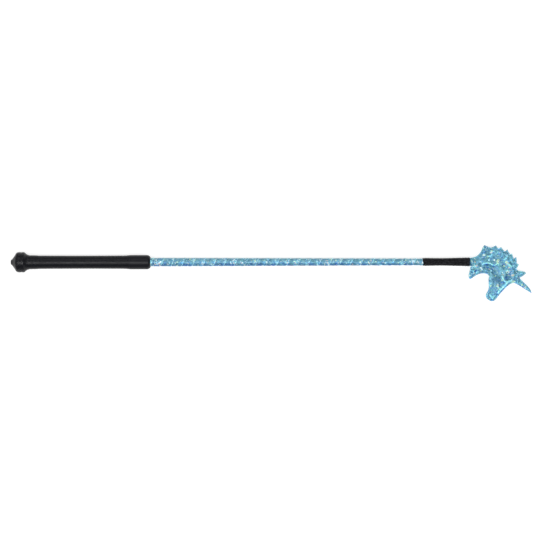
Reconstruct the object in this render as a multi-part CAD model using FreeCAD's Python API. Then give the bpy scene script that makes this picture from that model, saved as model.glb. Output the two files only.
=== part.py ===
"""Child's riding crop with a padded unicorn-head popper, in millimetres.

Frame: the origin is the centre of the butt end's face, on the shaft's axis. +X runs along the
shaft to the tip, and the popper lies flat in the XY plane, with Z through its thickness.

From butt to tip: a mushroom knob nailed on the handle, a rubber grip over a rigid tube, a smooth
ferrule, a tapered glass-fibre rod in a foam liner with a holographic ribbon wound over it, a
thread whipping that binds the popper's tongue, and the popper: two embossed foil skins welded
round their rim over two foam pads and a stiffener.
"""
import FreeCAD, Part
import os

from FreeCAD import Vector

# ---- driving dimensions -------------------------------------------------------------------
TOTAL_LENGTH = 610.0
POPPER_LENGTH = 72.0
POPPER_ROOT_X = TOTAL_LENGTH - POPPER_LENGTH      # the whipping ends and the popper begins here

GLUE_GAP = 0.05                                   # radial glue line between pushed-on pieces
WOUND_GAP = 0.02                                  # between a wound layer and what it lies on

# A turned outside is a list of points (x, radius), or of arcs: the middle and the end point.

# knob
NAIL_HEAD_THICKNESS = 1.3
NAIL_FACE_RADIUS = 2.4
NAIL_HEAD_ARC = ((0.45, 3.0), (NAIL_HEAD_THICKNESS, 3.4))
NAIL_SHANK_RADIUS = 0.9
NAIL_TAPER_X = 22.5
NAIL_POINT_X = 25.0
KNOB_RADIUS = 11.5
KNOB_GROOVE_DEPTH = 0.25
KNOB_SKIRT_END_X = 31.3
KNOB_OUTSIDE = [
    (NAIL_HEAD_THICKNESS, 3.5),                   # seat of the nail's head
    ((3.5, 6.35), (5.9, 9.85)),                   # cone
    ((7.0, 10.9), (8.4, KNOB_RADIUS)),
    (11.2, KNOB_RADIUS),                          # band with its shallow groove
    ((11.9, KNOB_RADIUS - KNOB_GROOVE_DEPTH), (12.6, KNOB_RADIUS)),
    (14.9, KNOB_RADIUS),
    ((15.8, 11.2), (16.5, 10.6)),
    ((18.9, 8.8), (22.0, 7.85)),                  # hollow flare
    (31.0, 7.7),                                  # skirt
    ((31.22, 7.6), (KNOB_SKIRT_END_X, 7.35)),
]

# handle
TUBE_START_X = 9.5
TUBE_END_X = 150.0
TUBE_RADIUS = 5.6
GRIP_TAPE_THICKNESS = 0.15
GRIP_TAPE_SETBACK = 0.5                           # from each end of the grip
GRIP_START_X = KNOB_SKIRT_END_X + GLUE_GAP
GRIP_END_X = 139.0
GRIP_OUTSIDE = [
    (GRIP_START_X, 7.45),
    ((60.0, 7.31), (92.0, 7.25)),                 # waist
    (131.0, 7.4),
    ((135.0, 7.52), (GRIP_END_X, 7.9)),           # flare up to the ferrule
]
FERRULE_START_X = GRIP_END_X + GLUE_GAP
FERRULE_RADIUS = 8.0
FERRULE_END_X = 163.4
FERRULE_OUTSIDE = [
    (FERRULE_START_X, 7.9),
    ((139.4, 7.98), (140.2, FERRULE_RADIUS)),
    (158.8, FERRULE_RADIUS),
    ((161.9, 7.25), (FERRULE_END_X, 5.7)),        # rounded mouth
]

# shaft
ROD_BUTT_X = 35.0
ROD_BUTT_RADIUS = 3.0
ROD_TIP_X = POPPER_ROOT_X - 6.0
ROD_TIP_RADIUS = 1.9
ROD_TIP_CHAMFER = 0.5
WRAP_START_X = TUBE_END_X + 2.0
WRAP_END_X = 505.0
WRAP_THICKNESS = 0.6
SHAFT_REAR_RADIUS = 4.75                          # outside of the ribbon at the ferrule's mouth
SHAFT_FRONT_RADIUS = 3.74                         # outside of the ribbon at the whipping

# whipping
WHIPPING_START_X = 482.1
WHIPPING_REAR_RADIUS = 4.4
WHIPPING_WAIST_RADIUS = 4.14
WHIPPING_FRONT_RADIUS = 4.8
WHIPPING_OUTSIDE = [
    (WHIPPING_START_X, 4.3),
    ((482.5, 4.37), (483.5, WHIPPING_REAR_RADIUS)),
    (491.0, WHIPPING_REAR_RADIUS),
    (WRAP_END_X, WHIPPING_WAIST_RADIUS),          # over the ribbon's end, then over the tongue
    (533.5, WHIPPING_FRONT_RADIUS),
    ((536.8, WHIPPING_FRONT_RADIUS), (POPPER_ROOT_X, 4.4)),
]

# popper
TONGUE_START_X = WRAP_END_X + 1.0
TONGUE_END_X = POPPER_ROOT_X - 0.1
TONGUE_FRONT_RADIUS = 4.25
TONGUE_SPLIT = 0.2                                # half the gap between the tongue's two halves
CORE_THICKNESS = 1.2
CORE_START_GAP = 0.3                              # from the rod's tip to the stiffener's end
CORE_END_SETBACK = 0.5                            # of the stiffener's own end from the flex line
ROOT_HALF_WIDTH = 4.0                             # of the stiffener where it enters the whipping
FLEX_X = POPPER_ROOT_X + 1.4                      # the line that the popper bends about
SKIN_ROOT_X = POPPER_ROOT_X + 2.6
SKIN_ROOT_HALF_WIDTH = 5.2
RIM_THICKNESS = 0.9                               # of one skin at the weld
PUFF_HEIGHT = 3.4                                 # of one skin over the padding
SKIN_THICKNESS = 0.6
CAVITY_INSET = 1.0
PUFF_CHAMFER = 0.55
CLEARANCE = 0.05
BOARD_ROOT_LENGTH = 8.0                           # how far the board's straight root runs in
RAMP_FOOT_HEIGHT = 1.0                            # the skin slopes down to the whipping
RAMP_SLOPE_START = (SKIN_ROOT_X, 1.5)
RAMP_SLOPE_END = (SKIN_ROOT_X + 7.0, PUFF_HEIGHT + 1.0)
CUT_REACH = 30.0                                  # a cutting block reaches past the popper

# The popper's outline, from the whipping's end, along the mane, ear, horn, face and throat.
# Each stretch runs on from the last point of the one before, and ends at a sharp corner or notch.
FIRST_CORNER = (SKIN_ROOT_X - POPPER_ROOT_X, SKIN_ROOT_HALF_WIDTH)
OUTLINE = [
    # back of the neck, up to the first lock of the mane
    [(4.9, 5.6), (7.8, 6.8), (10.6, 9.4), (12.9, 12.5), (15.4, 17.8), (16.9, 19.6)],
    [(20.6, 17.9), (24.7, 16.8), (27.6, 17.8), (30.4, 19.4)],
    # seven locks along the crest, each a steep front edge and a hooked back edge
    [(31.6, 17.2), (33.2, 15.5)],
    [(34.6, 16.1), (36.5, 17.6)],
    [(38.2, 14.8), (40.9, 12.1)],
    [(42.4, 13.2), (43.6, 14.9)],
    [(45.0, 11.8), (47.3, 8.9)],
    [(48.3, 9.2), (49.1, 10.2)],
    [(50.0, 6.9), (51.4, 3.8)],
    [(52.6, 4.6), (53.9, 5.9)],
    [(54.6, 2.2), (54.4, -1.5)],
    [(55.6, -2.2), (57.1, -3.2)],
    [(55.8, -5.6), (54.3, -7.9)],
    # ear
    [(56.6, -10.1), (60.4, -11.0), (63.4, -11.5), (65.5, -13.5)],
    [(62.6, -16.0), (57.8, -18.6)],
    # horn
    [(62.6, -23.9), (68.0, -29.2), (71.0, -33.4), (72.0, -36.7)],
    [(66.0, -33.0), (59.0, -28.5), (51.5, -24.5)],
    # forehead, face, rounded muzzle and jaw
    [(47.2, -25.9), (42.2, -29.8), (36.8, -35.4), (31.9, -41.5), (28.9, -45.0), (25.6, -46.1),
     (21.6, -44.6), (18.9, -41.6), (18.6, -38.6), (21.2, -33.2), (22.0, -28.6), (21.7, -22.4),
     (22.4, -17.3)],
    # throat, and the point at the bottom of the neck
    [(20.6, -14.6), (15.3, -13.5), (9.4, -14.6), (4.6, -17.3), (0.3, -20.4)],
    [(-0.9, -19.4), (-0.8, -12.0), (0.0, -SKIN_ROOT_HALF_WIDTH)],
    [(FIRST_CORNER[0], -SKIN_ROOT_HALF_WIDTH)],
    [FIRST_CORNER],
]

# The padded zone: neck, crest, cheek and face. The locks' points, the ear and the horn stay flat.
PADDED_ZONE = [
    (3.9, 1.8), (8.5, 4.6), (12.6, 8.2), (17.0, 13.4), (23.5, 14.3), (30.0, 14.2),
    (36.0, 12.0), (41.0, 8.6), (45.6, 4.2), (49.6, -1.4), (52.2, -8.2), (54.4, -14.2),
    (53.2, -19.4), (48.6, -23.0), (42.6, -26.4), (36.6, -32.0), (31.2, -38.6), (27.0, -43.0),
    (22.8, -42.4), (20.9, -38.8), (23.2, -33.4), (24.3, -27.6), (24.0, -20.6), (24.0, -15.8),
    (19.4, -12.0), (12.6, -11.4), (7.0, -12.9), (2.9, -15.2), (2.0, -9.4), (2.8, -3.2),
]

X_AXIS = Vector(1, 0, 0)
ORIGIN = Vector(0, 0, 0)


# ---- helpers ------------------------------------------------------------------------------
def wrap_radius(x):
    """The ribbon's outer radius, which tapers evenly from the ferrule to the whipping."""
    share = (x - FERRULE_END_X) / (WHIPPING_START_X - FERRULE_END_X)
    return SHAFT_REAR_RADIUS + share * (SHAFT_FRONT_RADIUS - SHAFT_REAR_RADIUS)


def rod_radius(x):
    """The rod is straight in the handle, and tapers evenly from there to its tip."""
    share = max(0.0, (x - TUBE_END_X) / (ROD_TIP_X - TUBE_END_X))
    return ROD_BUTT_RADIUS + share * (ROD_TIP_RADIUS - ROD_BUTT_RADIUS)


def lathe(profile):
    """A solid of revolution about the X axis. A profile item is a point (x, radius), or two
    points, the middle and the end of an arc."""
    edges = []
    start = here = Vector(profile[0][0], 0, profile[0][1])
    for item in profile[1:] + [profile[0]]:
        if isinstance(item[0], tuple):
            middle, end = (Vector(x, 0, r) for x, r in item)
            edges.append(Part.Arc(here, middle, end).toShape())
        else:
            end = Vector(item[0], 0, item[1])
            if (end - here).Length > 1e-6:
                edges.append(Part.makeLine(here, end))
        here = end
    assert (here - start).Length < 1e-6
    face = Part.Face(Part.Wire(edges))
    return face.revolve(ORIGIN, X_AXIS, 360)


def sleeve(outside, inside):
    """A tube about the X axis, from its outer and inner profiles, lists of (x, radius)."""
    return lathe(outside + inside[::-1])


def block(x0, x1, half_width, z0, z1):
    """A box that is centred on the XZ plane."""
    corner = Vector(x0, -half_width, z0)
    return Part.makeBox(x1 - x0, 2 * half_width, z1 - z0, corner)


def popper_point(point, z=0.0):
    return Vector(POPPER_ROOT_X + point[0], point[1], z)


def outline_face(z):
    """The popper's whole outline as a flat face: a line or a smooth curve for each stretch."""
    edges = []
    here = FIRST_CORNER
    for stretch in OUTLINE:
        points = [popper_point(p, z) for p in [here] + stretch]
        if len(points) == 2:
            edges.append(Part.makeLine(*points))
        else:
            curve = Part.BSplineCurve()
            curve.interpolate(points)
            edges.append(curve.toShape())
        here = stretch[-1]
    return Part.Face(Part.Wire(edges))


def zone_wire(inset, z):
    """The padded zone's edge as one closed curve, moved inwards by inset along its normals."""
    curve = Part.BSplineCurve()
    curve.interpolate([popper_point(p, z) for p in PADDED_ZONE], PeriodicFlag=True)
    moved = []
    for point in PADDED_ZONE:
        here = popper_point(point, z)
        along = curve.tangent(curve.parameter(here))[0]
        inwards = Vector(along.y, -along.x, 0)
        moved.append(here + inwards * inset)
    curve.interpolate(moved, PeriodicFlag=True)
    return Part.Wire([curve.toShape()])


def zone_slab(inset, z0, z1):
    """An upright-sided slab of the padded zone."""
    return Part.Face(zone_wire(inset, z0)).extrude(Vector(0, 0, z1 - z0))


def mirrored(shape):
    """The same piece on the popper's other side."""
    return shape.mirror(ORIGIN, Vector(0, 0, 1))


# ---- handle -------------------------------------------------------------------------------
def butt_nail():
    """Domed nail through the knob into the plug. Its small flat face is the butt end."""
    return lathe([
        (0, 0), (0, NAIL_FACE_RADIUS), NAIL_HEAD_ARC, (NAIL_HEAD_THICKNESS, NAIL_SHANK_RADIUS),
        (NAIL_TAPER_X, NAIL_SHANK_RADIUS), (NAIL_POINT_X, 0),
    ])


def butt_cap():
    """Mushroom knob: a cone, a grooved band, a hollow flare and a skirt over the handle."""
    bore = TUBE_RADIUS + GLUE_GAP
    hole = NAIL_SHANK_RADIUS + GLUE_GAP
    bottom = TUBE_START_X - GLUE_GAP
    inside = [(NAIL_HEAD_THICKNESS, hole), (bottom, hole), (bottom, bore), (KNOB_SKIRT_END_X, bore)]
    return sleeve(KNOB_OUTSIDE, inside)


def butt_plug():
    """Wooden plug in the tube's rear end, which the nail bites into."""
    end = ROD_BUTT_X - 1
    plug = lathe([(TUBE_START_X, 0), (TUBE_START_X, ROD_BUTT_RADIUS), (end, ROD_BUTT_RADIUS), (end, 0)])
    return plug.cut(butt_nail())


def handle_tube():
    """Rigid tube that makes the step from the thin rod to the thick grip."""
    bore = ROD_BUTT_RADIUS + GLUE_GAP
    return sleeve(
        [(TUBE_START_X, TUBE_RADIUS), (TUBE_END_X, TUBE_RADIUS)],
        [(TUBE_START_X, bore), (TUBE_END_X, bore)],
    )


def grip_tape():
    """Double-sided tape under the rubber grip, a little shorter than the grip."""
    inner = TUBE_RADIUS + WOUND_GAP
    outer = inner + GRIP_TAPE_THICKNESS
    start, end = GRIP_START_X + GRIP_TAPE_SETBACK, GRIP_END_X - GRIP_TAPE_SETBACK
    return sleeve([(start, outer), (end, outer)], [(start, inner), (end, inner)])


def grip_sleeve():
    """Rubber grip with a slight waist and a flare up to the ferrule."""
    bore = TUBE_RADIUS + GRIP_TAPE_THICKNESS + 2 * WOUND_GAP
    return sleeve(GRIP_OUTSIDE, [(GRIP_START_X, bore), (GRIP_END_X, bore)])


def front_ferrule():
    """Smooth rubber collar that closes the grip and grips the wound shaft."""
    step = TUBE_END_X + GLUE_GAP
    tube_bore = TUBE_RADIUS + GLUE_GAP
    return sleeve(FERRULE_OUTSIDE, [
        (FERRULE_START_X, tube_bore), (step, tube_bore), (step, wrap_radius(step) + GLUE_GAP),
        (FERRULE_END_X, wrap_radius(FERRULE_END_X) + GLUE_GAP),
    ])


# ---- shaft --------------------------------------------------------------------------------
def core_rod():
    """Tapered glass-fibre rod from inside the handle to inside the whipping."""
    chamfer = ROD_TIP_CHAMFER
    return lathe([
        (ROD_BUTT_X, 0), (ROD_BUTT_X, ROD_BUTT_RADIUS), (TUBE_END_X, ROD_BUTT_RADIUS),
        (ROD_TIP_X - chamfer, ROD_TIP_RADIUS), (ROD_TIP_X, ROD_TIP_RADIUS - chamfer), (ROD_TIP_X, 0),
    ])


def shaft_liner():
    """Foam tube that builds the thin rod out to the ribbon."""
    start, end = WRAP_START_X, WRAP_END_X
    under = WRAP_THICKNESS + WOUND_GAP
    return sleeve(
        [(start, wrap_radius(start) - under), (end, wrap_radius(end) - under)],
        [(start, rod_radius(start) + GLUE_GAP), (end, rod_radius(end) + GLUE_GAP)],
    )


def holographic_wrap():
    """The wound ribbon as one tapered skin, as thick as one turn lapped over the next."""
    start, end = WRAP_START_X, WRAP_END_X
    return sleeve(
        [(start, wrap_radius(start)), (end, wrap_radius(end))],
        [(start, wrap_radius(start) - WRAP_THICKNESS), (end, wrap_radius(end) - WRAP_THICKNESS)],
    )


def whipping():
    """Waxed thread wound over the ribbon's end and the popper's tongue."""
    return sleeve(WHIPPING_OUTSIDE, [
        (WHIPPING_START_X, wrap_radius(WHIPPING_START_X) + WOUND_GAP),
        (WRAP_END_X, wrap_radius(WRAP_END_X) + WOUND_GAP),
        (POPPER_ROOT_X, tongue_radius(POPPER_ROOT_X) + WOUND_GAP),
    ])


# ---- popper -------------------------------------------------------------------------------
def tongue_radius(x):
    """Outside of the bound tongue, which thickens towards the popper."""
    share = (x - WRAP_END_X) / (POPPER_ROOT_X - WRAP_END_X)
    rear = wrap_radius(WRAP_END_X)
    return rear + share * (TONGUE_FRONT_RADIUS - rear)


def tongue_front():
    """Half of the popper's tongue, curled round the rod and bound by the thread."""
    start, end = TONGUE_START_X, TONGUE_END_X
    bound = lathe([
        (start, 0), (start, tongue_radius(start)), (end, tongue_radius(end)), (end, 0),
    ])
    hole_end = ROD_TIP_X + 2 * CLEARANCE
    rod_hole = lathe([
        (WRAP_END_X, 0), (WRAP_END_X, rod_radius(WRAP_END_X) + GLUE_GAP),
        (hole_end, ROD_TIP_RADIUS + GLUE_GAP), (hole_end, 0),
    ])
    upper = block(start, end, CUT_REACH, TONGUE_SPLIT, CUT_REACH)
    slot_top = CORE_THICKNESS / 2 + CLEARANCE
    core_slot = block(ROD_TIP_X + CLEARANCE, POPPER_ROOT_X, CUT_REACH, -CORE_THICKNESS, slot_top)
    return bound.common(upper).cut(rod_hole).cut(core_slot)


def tongue_core():
    """The stiffener's own end between the tongue's halves, hollowed to take the popper's edge."""
    half = CORE_THICKNESS / 2
    start, end = ROD_TIP_X + CORE_START_GAP, FLEX_X - CORE_END_SETBACK
    strip = block(start, end, ROOT_HALF_WIDTH, -half, half)
    return strip.cut(flex_edge(half + CLEARANCE, CUT_REACH))


def flex_edge(radius, half_width):
    """The round edge that the popper turns on."""
    return Part.makeCylinder(radius, 2 * half_width, Vector(FLEX_X, -half_width, 0),
                             Vector(0, 1, 0))


def popper_core():
    """Stiffener board over the whole padded zone, with its round edge at the whipping."""
    half = CORE_THICKNESS / 2
    board = zone_slab(CAVITY_INSET + CLEARANCE, -half, half)
    root = block(FLEX_X, POPPER_ROOT_X + BOARD_ROOT_LENGTH, ROOT_HALF_WIDTH, -half, half)
    return board.fuse(root).fuse(flex_edge(half, ROOT_HALF_WIDTH)).removeSplitter()


def padding_front():
    """Foam pad between the stiffener and the front skin."""
    bottom = CORE_THICKNESS / 2 + WOUND_GAP
    top = PUFF_HEIGHT - SKIN_THICKNESS - WOUND_GAP
    return zone_slab(CAVITY_INSET + CLEARANCE, bottom, top)


def skin_front():
    """Embossed foil skin: a flat welded rim with the true outline, raised over the padding."""
    rim = outline_face(0).extrude(Vector(0, 0, RIM_THICKNESS))
    shoulder = PUFF_HEIGHT - PUFF_CHAMFER
    raised = zone_slab(0, 0, shoulder)
    crown = Part.makeLoft([zone_wire(0, shoulder), zone_wire(PUFF_CHAMFER, PUFF_HEIGHT)], True, True)
    cavity = zone_slab(CAVITY_INSET, -CORE_THICKNESS, PUFF_HEIGHT - SKIN_THICKNESS)
    slot_end = POPPER_ROOT_X + BOARD_ROOT_LENGTH + 1
    slot_top = CORE_THICKNESS / 2 + CLEARANCE
    slot = block(FLEX_X, slot_end, ROOT_HALF_WIDTH + CLEARANCE, -CORE_THICKNESS, slot_top)
    ramp_corners = [
        (POPPER_ROOT_X, RAMP_FOOT_HEIGHT), RAMP_SLOPE_START, RAMP_SLOPE_END,
        (POPPER_ROOT_X, RAMP_SLOPE_END[1]), (POPPER_ROOT_X, RAMP_FOOT_HEIGHT),
    ]
    ramp_outline = Part.makePolygon([Vector(x, -CUT_REACH, z) for x, z in ramp_corners])
    root_ramp = Part.Face(ramp_outline).extrude(Vector(0, 2 * CUT_REACH, 0))
    return rim.fuse([raised, crown]).cut([cavity, slot, root_ramp]).removeSplitter()


def build():
    front_half = {
        "tongue_front": tongue_front(),
        "padding_front": padding_front(),
        "skin_front": skin_front(),
    }
    parts = {
        "butt_nail": butt_nail(),
        "butt_cap": butt_cap(),
        "butt_plug": butt_plug(),
        "handle_tube": handle_tube(),
        "grip_tape": grip_tape(),
        "grip_sleeve": grip_sleeve(),
        "front_ferrule": front_ferrule(),
        "core_rod": core_rod(),
        "shaft_liner": shaft_liner(),
        "holographic_wrap": holographic_wrap(),
        "whipping": whipping(),
        "tongue_core": tongue_core(),
        "popper_core": popper_core(),
    }
    for name, shape in front_half.items():
        parts[name] = shape
        parts[name.replace("front", "back")] = mirrored(shape)
    return parts


def main():
    os.makedirs("parts", exist_ok=True)
    for name, shape in build().items():
        solids = shape.Solids
        assert shape.isValid() and len(solids) == 1, (name, shape.isValid(), len(solids))
        solids[0].exportStep("parts/" + name + ".step")
        print(f"{name:18s} volume {solids[0].Volume:9.1f} mm3")


main()
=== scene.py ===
"""Looks of the riding crop: plaited rubber handle, wound holographic ribbon, thread whipping and
embossed foil unicorn popper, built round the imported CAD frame. The shape code's lengths are in mm."""
import math

import bmesh
import bpy
import numpy as np
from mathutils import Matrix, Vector, geometry


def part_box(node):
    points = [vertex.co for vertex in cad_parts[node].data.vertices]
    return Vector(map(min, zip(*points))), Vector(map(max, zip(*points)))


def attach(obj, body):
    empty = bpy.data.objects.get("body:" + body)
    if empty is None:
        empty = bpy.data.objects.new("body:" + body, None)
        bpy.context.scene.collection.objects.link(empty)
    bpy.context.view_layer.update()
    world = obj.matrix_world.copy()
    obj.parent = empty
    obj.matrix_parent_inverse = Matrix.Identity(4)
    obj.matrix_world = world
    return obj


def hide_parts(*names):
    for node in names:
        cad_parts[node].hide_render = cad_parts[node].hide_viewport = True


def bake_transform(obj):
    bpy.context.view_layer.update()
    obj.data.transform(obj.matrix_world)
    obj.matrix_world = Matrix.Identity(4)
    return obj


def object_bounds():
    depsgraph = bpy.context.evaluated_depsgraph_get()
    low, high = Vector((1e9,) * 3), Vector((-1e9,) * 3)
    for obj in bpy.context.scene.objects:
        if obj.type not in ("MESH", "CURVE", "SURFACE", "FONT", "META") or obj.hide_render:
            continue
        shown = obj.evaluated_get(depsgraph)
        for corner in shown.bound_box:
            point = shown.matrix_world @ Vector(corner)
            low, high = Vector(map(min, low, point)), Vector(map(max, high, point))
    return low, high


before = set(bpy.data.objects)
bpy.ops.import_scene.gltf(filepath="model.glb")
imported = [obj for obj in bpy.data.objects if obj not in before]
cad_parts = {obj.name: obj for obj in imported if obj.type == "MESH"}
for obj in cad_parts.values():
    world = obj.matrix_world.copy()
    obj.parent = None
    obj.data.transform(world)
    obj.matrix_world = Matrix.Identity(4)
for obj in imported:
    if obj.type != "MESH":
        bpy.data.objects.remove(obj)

CAD_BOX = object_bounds()
MM = 0.001
TURN = 2 * math.pi
RANDOM = np.random.default_rng(7)
WELD_DISTANCE = 1e-7              # CAD points closer than this, in metres, are one point
SAME = 1e-6                       # lengths closer than this are the same
CORNER = math.radians(50)         # faces that meet at more than this keep a sharp corner
OUTWARDS = 0.05                   # a face leans out at least this much to be on the outside

# ---- handle -------------------------------------------------------------------------------
PLAIT_STRANDS = 14
PLAIT_PITCH = 3.7                 # along the handle, from one strand to the next
PLAIT_DEPTH = 0.22
KNOB_PLAIT_DEPTH = 0.32           # on the knob's cone and band; its skirt is as fine as the grip
KNOB_PLAIT_RADII = (7.8, 10.5)    # the plait grows bolder from the skirt's radius to the band's
NO_PLAIT = (0.0, 0.0)
PLAIT_MIDDLE = 0.65               # the plait's height, from 0 to 1, that is level with the skin
PLAIT_FADE = 0.9                  # it fades out this close to each end
STRAND_ROUNDNESS = 2.6
STRAND_HEIGHT = 0.55              # a strand's mean height, and its rise and fall as it weaves
STRAND_SWING = 0.45
HANDLE_SWELL = 0.36               # the outside stands this far above the CAD's
CONE_END = 8.0                    # the swell grows from the nail to here
HANDLE_SEGMENTS = 168
HANDLE_STEP = 0.3
KNOB_BORE = (1.0, 5.7)            # radius at the rear end, round the nail, and over the tube
GRIP_BORE = (5.7, 5.7)
FERRULE_BORE = (5.7, 5.3)         # over the tube, and over the ribbon

# ---- ribbon -------------------------------------------------------------------------------
RIBBON_LEAD = 12.3                # the seams' spacing along the shaft
RIBBON_LAP = 3.2
RIBBON_THICKNESS = 0.3
RIBBON_CROWN = 0.26               # each turn bulges between its seams
RIBBON_SWELL = 0.3                # the lapped edge stands this far above the CAD outside
RIBBON_START = 152.3              # its square cut end, hidden inside the ferrule's mouth
RIBBON_END = 500.0
RIBBON_SEGMENTS = 64
RIBBON_ACROSS = np.concatenate([np.linspace(0, 0.76, 8), np.linspace(0.8, 1, 6)])
RIBBON_CLIMB = (1.15, 0.75)       # where it climbs onto the next turn, in laps from its edge
RIBBON_UNDERSIDE = 0.95           # its underside is at this share of its thickness
RIBBON_EDGE = 0.955               # the bare cut edge, pale and given a painted highlight, starts at this share of its width
RIBBON_PAINTED_SHADE = (0.38, 0.58)      # painted shade from the seam behind, lightening towards the seam ahead
WOBBLE = 0.05                     # unevenness from winding by hand, and its waves
WOBBLE_WAVES = (1.37, 0.61)
WOBBLE_SKEW = 5.0
FRONT_GLINT = 0.2                 # extra painted glints towards each turn's front edge
FRONT_GLINT_FROM = (0.5, 0.95)
FERRULE_GLINT = 0.3               # and painted glints near the ferrule and the whipping
FERRULE_GLINT_TO = (165.0, 185.0)
WHIPPING_GLINT = 0.15
WHIPPING_GLINT_FROM = (420.0, 470.0)

# ---- whipping -----------------------------------------------------------------------------
THREAD_PITCH = 0.7
THREAD_RADIUS = 0.42
THREAD_SEGMENTS = 44
THREAD_SIDES = 8
THREAD_STAND = 0.3                # its outside stands this far above the CAD whipping's
THREAD_DRIFT = 0.05               # how far a turn strays along the shaft
DRIFT_ANGLE = 4.1                 # it strays anew after this much winding, in radians
DRIFT_LIFT = 1.6                  # it also rises, by this share of its stray
DRIFT_LAG = 9                     # and this many points further on
LUMP = 0.12                       # the tongue below it is uneven: height and waves
LUMP_WAVES = (2.1, 0.37)
LUMP_SKEW = 2.0

# ---- popper: places are from the whipping's end along the axis, and across it --------------
GRID = 0.34                       # spacing of the skin's mesh
GRID_CLEARANCE = 0.55             # the mesh keeps this share of it clear of the edge
SKIN = 0.45
SKIN_GAP = 0.02                   # from the weld plane to each skin's inside at the rim
RIM_WIDTH = 1.5
RIM_HEIGHT = 0.75
RIM_ROUND = 0.5                   # the cut edge is rounded over this width
RIM_EDGE_SHARE = 0.25             # square of the share of the rim's height left at the edge
PRESS_DEPTH = 0.16                # the weld line pressed in along the rim's inner side
PRESS_WIDTH = 0.32
PUFF = 1.75                       # height that the padding adds, in full this far inwards
PUFF_REACH = 6.0
PUFF_MARGIN = 1.2                 # counted from this far outside the pad's edge
PUFF_START = (-1.8, 2.2)          # where the skin lifts off the rim, inwards from that edge
PILLOW = 0.55                     # the skin's own swell between the rim and the pad
PILLOW_START = (-0.4, 0.9)        # from the rim's inner side
EMBOSS_START = (0.3, 0.6)         # from the cut edge, and past the rim's inner side
HORN_START = (0.2, 1.2)           # from the cut edge
CREASE_START = (0.4, 2.0)
ROOT_RADIUS = 4.0                 # of the root that the thread binds
ROOT_HALF_WIDTH = 5.0
ROOT_REACH = (-1.0, 14.0)         # how far its roundness runs into the popper
ROOT_EDGE = 0.4                   # its height at the cut edge, and how steeply it rises inwards
ROOT_EDGE_SLOPE = 2.2
ROOT_BLEND = 4                    # power of the soft join of root and skin
ROOT_CUT_X = (-0.5, 2.65)         # the CAD outline's points that stand clear of the whipping
ROOT_CUT_Y = 5.25
MANE_ROOT_CORNER = (-0.3, 4.5)    # where the real skin's edges run on into it instead
THROAT_ROOT_CORNER = (-0.3, -4.7)
BOARD_STEP = 0.6                  # between the stiffener's rows of points at the neck
BOARD_BEND_END = 12.0


# ---- small tools ------------------------------------------------------------------------
def smooth(value, low, high):
    """0 at low and 1 at high, with a soft start and end."""
    t = np.clip((value - low) / (high - low), 0, 1)
    return t * t * (3 - 2 * t)


def make_piece(name, points_mm, faces, material, slot, **values):
    """A mesh object from points in mm, shaded smooth but for its real corners."""
    mesh = bpy.data.meshes.new(name)
    mesh.from_pydata((np.asarray(points_mm) * MM).tolist(), [], faces)
    mesh.validate()
    mesh.polygons.foreach_set("use_smooth", np.ones(len(mesh.polygons), bool))
    mesh.set_sharp_from_angle(angle=CORNER)
    for key, value in values.items():
        attribute = mesh.attributes.new(key, "FLOAT", "POINT")
        attribute.data.foreach_set("value", np.asarray(value, np.float32))
    piece = bpy.data.objects.new(name, mesh)
    bpy.context.scene.collection.objects.link(piece)
    mesh.materials.append(material)
    return piece


def grid_faces(rows, columns, loop_rows=False):
    """Quads over a tube of points stored ring by ring; its last ring may join its first."""
    faces = []
    for row in range(rows if loop_rows else rows - 1):
        below = (row + 1) % rows
        for column in range(columns):
            beside = (column + 1) % columns
            faces.append((row * columns + column, row * columns + beside,
                          below * columns + beside, below * columns + column))
    return faces


def end_caps(rows, columns):
    """The two faces that close such a tube."""
    last = (rows - 1) * columns
    return [tuple(range(columns))[::-1], tuple(last + column for column in range(columns))]


def outer_profile(node):
    """The outside of a turned CAD node as (x, radius) points in mm, from butt to tip."""
    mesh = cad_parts[node].data
    points = {}
    for polygon in mesh.polygons:
        outwards = Vector((0, polygon.center.y, polygon.center.z)).normalized()
        if outwards.dot(polygon.normal) < OUTWARDS:
            continue
        for index in polygon.vertices:
            x, y, z = mesh.vertices[index].co / MM
            points[round(x, 3)] = math.hypot(y, z)
    return np.array(sorted(points.items()))


def around(x, radius, angle):
    """Points at an angle round the shaft's axis, from the top towards the mane's side."""
    x, radius, angle = np.broadcast_arrays(x, radius, angle)
    return np.stack([x, radius * np.sin(angle), radius * np.cos(angle)], -1)


# ---- handle: knob and grip --------------------------------------------------------------
def plait(along, angle):
    """Height, from 0 to 1, of two families of strands that wind opposite ways and weave."""
    turn = PLAIT_STRANDS * angle / TURN
    right, left = turn + along / PLAIT_PITCH, turn - along / PLAIT_PITCH
    right_strand, left_strand = np.round(right), np.round(left)
    right_over = STRAND_HEIGHT + STRAND_SWING * np.cos(math.pi * (left + right_strand))
    left_over = STRAND_HEIGHT - STRAND_SWING * np.cos(math.pi * (right + left_strand))

    def crown(offset):
        return 1 - np.abs(2 * offset) ** STRAND_ROUNDNESS

    return np.maximum(crown(right - right_strand) * right_over,
                      crown(left - left_strand) * left_over)


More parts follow.
